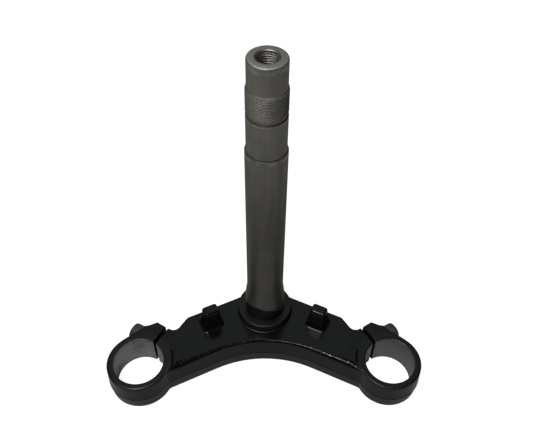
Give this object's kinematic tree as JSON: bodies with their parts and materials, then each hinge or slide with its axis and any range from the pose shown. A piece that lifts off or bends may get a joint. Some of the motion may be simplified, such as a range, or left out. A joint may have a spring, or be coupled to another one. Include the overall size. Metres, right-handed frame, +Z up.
{
  "type": "motorcycle lower triple clamp",
  "caption": "Forged lower fork bridge with split clamps for the fork legs, steering stops, pinch bolts and a stepped steering stem threaded near its top.",
  "frame": {"origin": "on the stem axis, at the top face of the collar that the lower steering bearing rests on", "axes": "+Z up the steering stem, -Y towards the front wheel, +X towards the fork leg that is on the right in the picture"},
  "size_m": [0.2366, 0.0935, 0.258],
  "materials": {
    "bridge_paint": "satin black paint over a forged surface",
    "stem_steel": "turned steel with a dark coating",
    "bolt_steel": "dull zinc"
  },
  "bodies": {
    "root": {"bridge": "bridge_paint", "stem": "stem_steel", "left_pinch_bolt": "bolt_steel", "right_pinch_bolt": "bolt_steel"}
  },
  "joints": []
}
